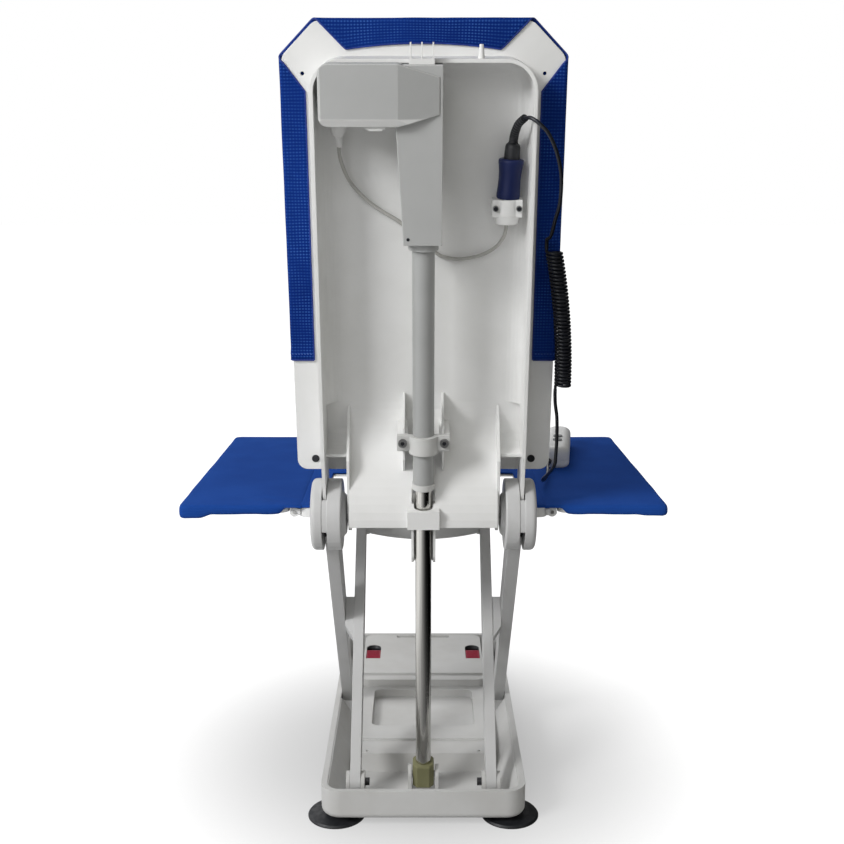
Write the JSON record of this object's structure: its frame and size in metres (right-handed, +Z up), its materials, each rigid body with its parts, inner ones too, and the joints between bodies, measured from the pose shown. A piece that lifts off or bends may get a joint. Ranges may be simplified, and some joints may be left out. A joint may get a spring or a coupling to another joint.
{
  "type": "bath lift",
  "caption": "Bath lift: a seat with folding side flaps and a reclining backrest on a scissor base with suction cups, raised by a screw drive and a corded handset.",
  "frame": {"origin": "on the floor under the middle of the lift's box", "axes": "+Z up, the seat faces -Y, +X is the sitter's left"},
  "size_m": [0.708, 0.751, 1.1595],
  "materials": {
    "white_plastic": "satin",
    "grey_housing": "satin",
    "blue_fabric": "woven",
    "steel": "brushed",
    "chrome_rod": "polished",
    "black_rubber": "matte",
    "grey_plastic": "matte",
    "olive_plastic": "matte",
    "navy_plastic": "matte",
    "red_plastic": "gloss",
    "circuit_board": "matte"
  },
  "bodies": {
    "base": {"base_tray": "white_plastic", "front_deck": "white_plastic", "suction_cup_rear_left": "black_rubber", "suction_cup_rear_right": "black_rubber", "suction_cup_front_left": "black_rubber", "suction_cup_front_right": "black_rubber", "base_pins": "steel"},
    "left_catch": {"catch_left": "red_plastic"},
    "right_catch": {"catch_right": "red_plastic"},
    "inner_arms": {"inner_arm_left": "white_plastic", "inner_arm_right": "white_plastic", "arm_web": "white_plastic", "crossing_pins": "steel", "seat_sliders": "grey_plastic"},
    "outer_arms": {"outer_arm_left": "white_plastic", "outer_arm_right": "white_plastic", "hinge_pins": "steel", "base_sliders": "grey_plastic"},
    "seat": {"seat_plate": "white_plastic", "seat_cover": "blue_fabric", "flap_rods": "steel"},
    "left_flap": {"flap_left": "white_plastic", "flap_cover_left": "blue_fabric"},
    "right_flap": {"flap_right": "white_plastic", "flap_cover_right": "blue_fabric", "handset_lower": "white_plastic", "handset_upper": "white_plastic", "handset_board": "circuit_board", "handset_relief": "black_rubber", "cord_end": "black_rubber"},
    "up_key": {"up_button": "grey_plastic"},
    "down_key": {"down_button": "grey_plastic"},
    "backrest": {"back_shell": "white_plastic", "back_tray": "white_plastic", "back_cover": "blue_fabric", "shell_plugs": "black_rubber", "motor_box": "grey_housing", "drive_column": "grey_housing", "motor": "steel", "worm_wheel": "olive_plastic", "spindle": "steel", "drive_tube": "grey_housing", "tube_ring": "white_plastic", "tube_clamp": "white_plastic", "bracket_screws": "steel", "top_bracket": "white_plastic", "guide_bush": "grey_plastic", "motor_gland": "white_plastic", "motor_cable": "grey_plastic", "socket_clamp": "white_plastic", "cord_plug": "navy_plastic", "plug_boot": "black_rubber", "cord_lead": "black_rubber", "cord_curl": "black_rubber", "cord_drop": "black_rubber"},
    "lift_rod": {"rod": "chrome_rod", "rod_foot": "olive_plastic", "foot_pin": "steel", "drive_nut": "olive_plastic"}
  },
  "joints": [
    {"name": "lift", "type": "hinge", "parent": "base", "child": "inner_arms", "pos_m": [0, 0.19945, 0.05], "axis": [1, 0, 0], "range_deg": [0, 43.79], "deforming": ["cord_end"]},
    {"name": "scissor_cross", "type": "hinge", "parent": "inner_arms", "child": "outer_arms", "pos_m": [0, 0.04247, 0.2635], "axis": [1, 0, 0], "range_deg": [-87.58, 0]},
    {"name": "seat_level", "type": "hinge", "parent": "outer_arms", "child": "seat", "pos_m": [0, 0.19945, 0.477], "axis": [1, 0, 0], "range_deg": [0, 43.79]},
    {"name": "recline", "type": "hinge", "parent": "seat", "child": "backrest", "pos_m": [0, 0.19945, 0.477], "axis": [-1, 0, 0], "range_deg": [0, 30.75], "deforming": ["cord_end"]},
    {"name": "rod_slide", "type": "slide", "parent": "backrest", "child": "lift_rod", "axis": [0, 0.1607, 0.987], "range_m": [0, 0.33597]},
    {"name": "flap_left_fold", "type": "hinge", "parent": "seat", "child": "left_flap", "pos_m": [0.19, -0.04355, 0.477], "axis": [0, -1, 0], "range_deg": [0, 75]},
    {"name": "flap_right_fold", "type": "hinge", "parent": "seat", "child": "right_flap", "pos_m": [-0.19, -0.04355, 0.477], "axis": [0, 1, 0], "range_deg": [0, 75], "deforming": ["cord_end"]},
    {"name": "up_press", "type": "slide", "parent": "right_flap", "child": "up_key", "axis": [0, 0, -1], "range_m": [0, 0.0015], "stiffness_N_per_m": 800},
    {"name": "down_press", "type": "slide", "parent": "right_flap", "child": "down_key", "axis": [0, 0, -1], "range_m": [0, 0.0015], "stiffness_N_per_m": 800},
    {"name": "left_release", "type": "slide", "parent": "base", "child": "left_catch", "axis": [0, -1, 0], "range_m": [0, 0.008], "stiffness_N_per_m": 400},
    {"name": "right_release", "type": "slide", "parent": "base", "child": "right_catch", "axis": [0, -1, 0], "range_m": [0, 0.008], "stiffness_N_per_m": 400}
  ],
  "couplings": [
    {"joint": "scissor_cross", "follows": "lift", "ratio": -2},
    {"joint": "seat_level", "follows": "lift", "ratio": 1},
    {"joint": "recline", "follows": "lift", "ratio": 0.70225},
    {"joint": "rod_slide", "follows": "lift", "m_per_rad": 0.43961}
  ]
}
